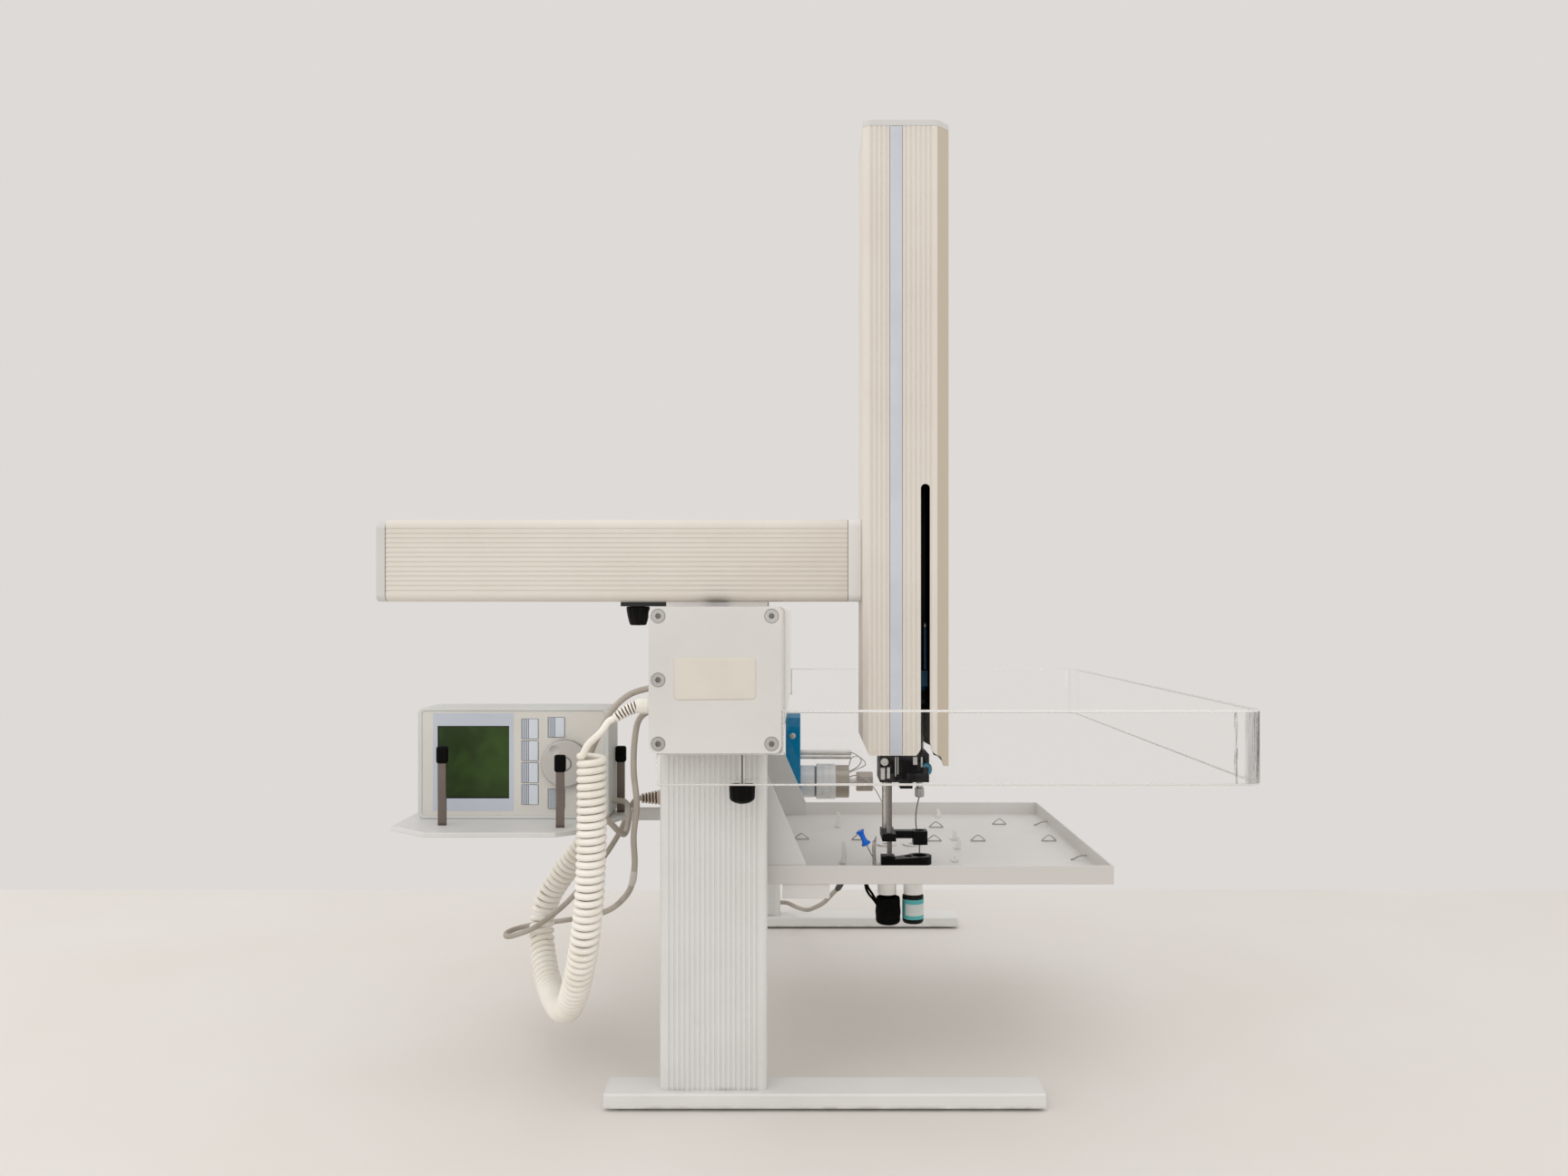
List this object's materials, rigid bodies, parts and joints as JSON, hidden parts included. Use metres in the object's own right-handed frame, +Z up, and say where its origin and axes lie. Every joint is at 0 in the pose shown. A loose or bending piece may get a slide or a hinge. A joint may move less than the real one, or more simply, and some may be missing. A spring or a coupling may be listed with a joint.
{
  "type": "laboratory autosampler",
  "caption": "Bench autosampler: a beam on two legs carries a cross arm and a tower that lowers a syringe over a sample tray, with a guard, a valve and a keypad terminal.",
  "frame": {"origin": "on the table, under the middle of the outline without its cords", "axes": "+X to the front, from the beam over the tray; +Y along the beam away from the viewer; +Z up"},
  "size_m": [0.793, 0.828, 0.887],
  "materials": {
    "frame_paint": "satin",
    "beam_paint": "satin",
    "cover_cream": "satin",
    "cap_grey": "matte",
    "pad_rubber": "matte",
    "steel": "satin",
    "motor_black": "satin",
    "actuator_grey": "satin",
    "belt_rubber": "matte",
    "tray_sheet": "satin",
    "wash_white": "satin",
    "vial_glass": "gloss",
    "valve_blue": "satin",
    "rotor_polymer": "satin",
    "guard_clear": "gloss",
    "black_plastic": "satin",
    "post_metal": "satin",
    "case_grey": "satin",
    "panel_cream": "matte",
    "display_green": "gloss",
    "dial_grey": "satin",
    "key_blue": "satin",
    "cord_ivory": "satin",
    "lead_grey": "satin",
    "plug_tan": "satin",
    "machined_alu": "satin",
    "pin_blue": "gloss",
    "barrel_glass": "gloss"
  },
  "bodies": {
    "frame": {"near_foot": "frame_paint", "far_foot": "frame_paint", "foot_pads": "pad_rubber", "near_column": "frame_paint", "far_column": "frame_paint", "beam": "beam_paint", "near_end_cap": "cap_grey", "far_end_cap": "cap_grey", "end_cap_screws": "steel", "rail_motor": "motor_black", "rail_belt": "belt_rubber", "tray_pan": "tray_sheet", "tray_bracket": "tray_sheet", "wash_collars": "wash_white", "wash_vials": "vial_glass", "valve_bracket": "valve_blue", "valve_actuator": "actuator_grey", "valve_body": "steel", "valve_fittings": "steel", "guard": "guard_clear", "terminal_shelf": "tray_sheet", "shelf_posts": "post_metal", "post_caps": "black_plastic", "terminal_case": "case_grey", "terminal_panel": "panel_cream", "terminal_display": "display_green", "cord_socket": "wash_white", "curly_cord": "cord_ivory", "grey_leads": "lead_grey", "lead_plugs": "plug_tan"},
    "near_guard_knob": {"near_guard_knob": "black_plastic"},
    "far_guard_knob": {"far_guard_knob": "black_plastic"},
    "rail_pulley": {"rail_pulley": "machined_alu"},
    "rail_idler": {"rail_idler": "machined_alu"},
    "carriage": {"carriage": "machined_alu"},
    "arm_lock_knob": {"arm_lock_knob": "black_plastic"},
    "arm": {"arm_cover": "cover_cream", "arm_end_caps": "cap_grey", "arm_motor": "motor_black", "tower_cover": "cover_cream", "tower_top_cap": "cap_grey", "tower_spine": "machined_alu", "lift_motor": "motor_black"},
    "arm_spindle": {"arm_spindle": "steel"},
    "lift_spindle": {"lift_spindle": "steel"},
    "syringe_carriage": {"syringe_carriage": "black_plastic", "syringe_barrel": "barrel_glass", "needle": "steel"},
    "needle_guide": {"guide_rods": "steel", "needle_guide": "black_plastic", "push_pin": "pin_blue"},
    "plunger": {"plunger": "machined_alu"},
    "jog_dial": {"jog_dial": "dial_grey"},
    "key_1": {"key_1": "key_blue"},
    "key_2": {"key_2": "key_blue"},
    "key_3": {"key_3": "key_blue"},
    "key_4": {"key_4": "key_blue"},
    "key_stop": {"key_stop": "key_blue"},
    "key_back": {"key_back": "key_blue"},
    "valve_rotor": {"valve_rotor": "rotor_polymer"}
  },
  "joints": [
    {"name": "rail_slide", "type": "slide", "parent": "frame", "child": "carriage", "axis": [0, 1, 0], "range_m": [-0.025, 0.26]},
    {"name": "arm_slide", "type": "slide", "parent": "carriage", "child": "arm", "axis": [1, 0, 0], "range_m": [-0.05, 0.155]},
    {"name": "lift_slide", "type": "slide", "parent": "arm", "child": "syringe_carriage", "axis": [0, 0, 1], "range_m": [0, 0.05]},
    {"name": "guide_slide", "type": "slide", "parent": "syringe_carriage", "child": "needle_guide", "axis": [0, 0, 1], "range_m": [0, 0.02]},
    {"name": "plunger_slide", "type": "slide", "parent": "syringe_carriage", "child": "plunger", "axis": [0, 0, 1], "range_m": [0, 0.045]},
    {"name": "rail_pulley_turn", "type": "hinge", "parent": "frame", "child": "rail_pulley", "pos_m": [-0.0475, -0.366, 0.401], "axis": [0, 0, 1], "continuous": true},
    {"name": "rail_idler_turn", "type": "hinge", "parent": "frame", "child": "rail_idler", "pos_m": [-0.0475, 0.366, 0.401], "axis": [0, 0, 1], "continuous": true},
    {"name": "arm_spindle_turn", "type": "hinge", "parent": "arm", "child": "arm_spindle", "pos_m": [-0.0655, -0.254, 0.488], "axis": [1, 0, 0], "continuous": true},
    {"name": "lift_spindle_turn", "type": "hinge", "parent": "arm", "child": "lift_spindle", "pos_m": [0.0895, -0.239, 0.6], "axis": [0, 0, 1], "continuous": true},
    {"name": "arm_lock_turn", "type": "hinge", "parent": "carriage", "child": "arm_lock_knob", "pos_m": [-0.1515, -0.254, 0.439], "axis": [0, 0, 1], "continuous": true},
    {"name": "near_guard_knob_turn", "type": "hinge", "parent": "frame", "child": "near_guard_knob", "pos_m": [-0.0435, -0.396, 0.288], "axis": [0, 0, 1], "continuous": true},
    {"name": "far_guard_knob_turn", "type": "hinge", "parent": "frame", "child": "far_guard_knob", "pos_m": [-0.0435, 0.29, 0.288], "axis": [0, 0, 1], "continuous": true},
    {"name": "jog_turn", "type": "hinge", "parent": "frame", "child": "jog_dial", "pos_m": [-0.2188, -0.2684, 0.2895], "axis": [0, -1, 0], "continuous": true},
    {"name": "valve_turn", "type": "hinge", "parent": "frame", "child": "valve_rotor", "pos_m": [0.0045, 0.096, 0.22], "axis": [1, 0, 0], "range_deg": [0, 60]},
    {"name": "key_1_press", "type": "slide", "parent": "frame", "child": "key_1", "axis": [0, 1, 0], "range_m": [0, 0.001], "stiffness_N_per_m": 400},
    {"name": "key_2_press", "type": "slide", "parent": "frame", "child": "key_2", "axis": [0, 1, 0], "range_m": [0, 0.001], "stiffness_N_per_m": 400},
    {"name": "key_3_press", "type": "slide", "parent": "frame", "child": "key_3", "axis": [0, 1, 0], "range_m": [0, 0.001], "stiffness_N_per_m": 400},
    {"name": "key_4_press", "type": "slide", "parent": "frame", "child": "key_4", "axis": [0, 1, 0], "range_m": [0, 0.001], "stiffness_N_per_m": 400},
    {"name": "key_stop_press", "type": "slide", "parent": "frame", "child": "key_stop", "axis": [0, 1, 0], "range_m": [0, 0.001], "stiffness_N_per_m": 400},
    {"name": "key_back_press", "type": "slide", "parent": "frame", "child": "key_back", "axis": [0, 1, 0], "range_m": [0, 0.001], "stiffness_N_per_m": 400}
  ],
  "couplings": [
    {"joint": "rail_pulley_turn", "follows": "rail_slide", "rad_per_m": -76.046},
    {"joint": "rail_idler_turn", "follows": "rail_slide", "rad_per_m": -76.046},
    {"joint": "arm_spindle_turn", "follows": "arm_slide", "rad_per_m": 314.16},
    {"joint": "lift_spindle_turn", "follows": "lift_slide", "rad_per_m": 628.32}
  ]
}
